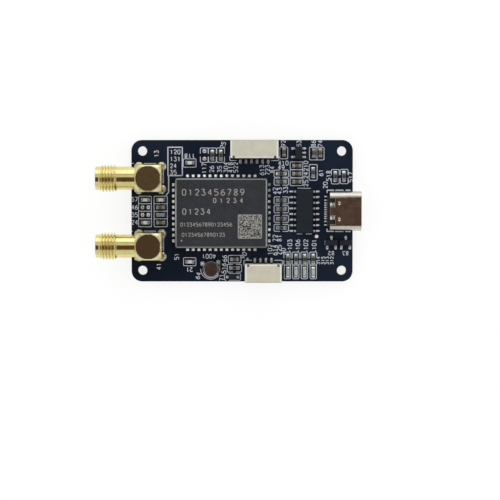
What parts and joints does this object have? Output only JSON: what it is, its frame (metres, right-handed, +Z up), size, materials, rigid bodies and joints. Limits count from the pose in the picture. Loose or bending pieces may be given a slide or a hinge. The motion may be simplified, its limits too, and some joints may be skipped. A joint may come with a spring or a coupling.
{
  "type": "satellite positioning receiver board",
  "caption": "Small rectangular circuit board with right-angle threaded coax jacks, a shielded positioning module, side-entry headers and a USB-C socket.",
  "frame": {"origin": "centre of the four mounting holes, on the underside of the circuit board", "axes": "+X along the board from the coax jacks to the USB socket, +Y across the board to the six-way header, +Z up out of the component side"},
  "size_m": [0.0595, 0.032, 0.0091],
  "materials": {
    "solder_mask_board": "dark blue solder mask over woven glass laminate, satin",
    "solder": "bright reflowed solder, slightly uneven",
    "gilt_block": "gold-plated brass, polished faces",
    "gilt_barrel": "gold-plated turned brass, fine lathe lines",
    "gilt_cap": "gold-plated pressed disc, mirror finish",
    "white_insulator": "white fluoropolymer, waxy",
    "gold_contact": "gold-plated spring contact, bright",
    "green_carrier": "dark green solder mask",
    "shield_sheet": "laser-darkened matte top with a bright drawn rim",
    "black_moulding": "black moulding compound, fine matte",
    "plated_lid": "nickel-plated lid, satin",
    "filter_ceramic": "grey-brown ceramic with a metal lid",
    "cream_moulding": "cream nylon moulding, faint grain",
    "tinned_contact": "tin-plated copper alloy, satin",
    "shell_sheet": "nickel-plated folded sheet, near mirror",
    "black_insulator": "black glass-filled moulding",
    "cell_sheet": "nickel-plated can, satin",
    "cell_lid_sheet": "polished lid with a brown cast",
    "cell_seal": "black sealing ring",
    "brown_ceramic": "brown dielectric ceramic, fine speckle",
    "pale_ceramic": "pale grey dielectric ceramic",
    "blue_ceramic": "blue-grey ferrite ceramic",
    "tinned_end": "tinned end, slightly matte",
    "fuse_glaze": "dark glaze over a pale slip with one bar",
    "resistor_glaze": "black glaze with a pale marking",
    "lamp_base_board": "white laminate",
    "lamp_resin": "milky clear resin, faint green cast"
  },
  "bodies": {
    "root": {"circuit_board": "solder_mask_board", "solder_joints": "solder", "antenna_jack_1_body": "gilt_block", "antenna_jack_2_body": "gilt_block", "antenna_jack_1_barrel": "gilt_barrel", "antenna_jack_2_barrel": "gilt_barrel", "antenna_jack_1_cap": "gilt_cap", "antenna_jack_2_cap": "gilt_cap", "antenna_jack_1_insulator": "white_insulator", "antenna_jack_2_insulator": "white_insulator", "antenna_jack_1_contact": "gold_contact", "antenna_jack_2_contact": "gold_contact", "usb_contacts": "gold_contact", "module_carrier": "green_carrier", "module_shield_can": "shield_sheet", "positioning_processor": "black_moulding", "serial_bridge_chip": "black_moulding", "regulator_chip": "black_moulding", "surge_diode_1": "black_moulding", "surge_diode_2": "black_moulding", "rectifier_diode": "black_moulding", "reference_oscillator": "plated_lid", "antenna_filters": "filter_ceramic", "upper_header_housing": "cream_moulding", "lower_header_housing": "cream_moulding", "upper_header_contacts": "tinned_contact", "upper_header_anchors": "tinned_contact", "lower_header_contacts": "tinned_contact", "lower_header_anchors": "tinned_contact", "serial_bridge_leads": "tinned_contact", "regulator_leads": "tinned_contact", "surge_diode_leads": "tinned_contact", "rectifier_diode_leads": "tinned_contact", "usb_shell": "shell_sheet", "usb_mid_plate": "shell_sheet", "usb_insulator": "black_insulator", "backup_cell_can": "cell_sheet", "backup_cell_tabs": "cell_sheet", "backup_cell_lid": "cell_lid_sheet", "backup_cell_gasket": "cell_seal", "brown_capacitors": "brown_ceramic", "pale_capacitors": "pale_ceramic", "feed_inductor": "blue_ceramic", "capacitor_ends": "tinned_end", "feed_inductor_ends": "tinned_end", "fuse_ends": "tinned_end", "resistor_ends": "tinned_end", "lamp_ends": "tinned_end", "fuse": "fuse_glaze", "supply_resistors": "resistor_glaze", "module_resistors": "resistor_glaze", "usb_resistors": "resistor_glaze", "lamp_resistors": "resistor_glaze", "lamp_bases": "lamp_base_board", "lamp_lenses": "lamp_resin"}
  },
  "joints": []
}
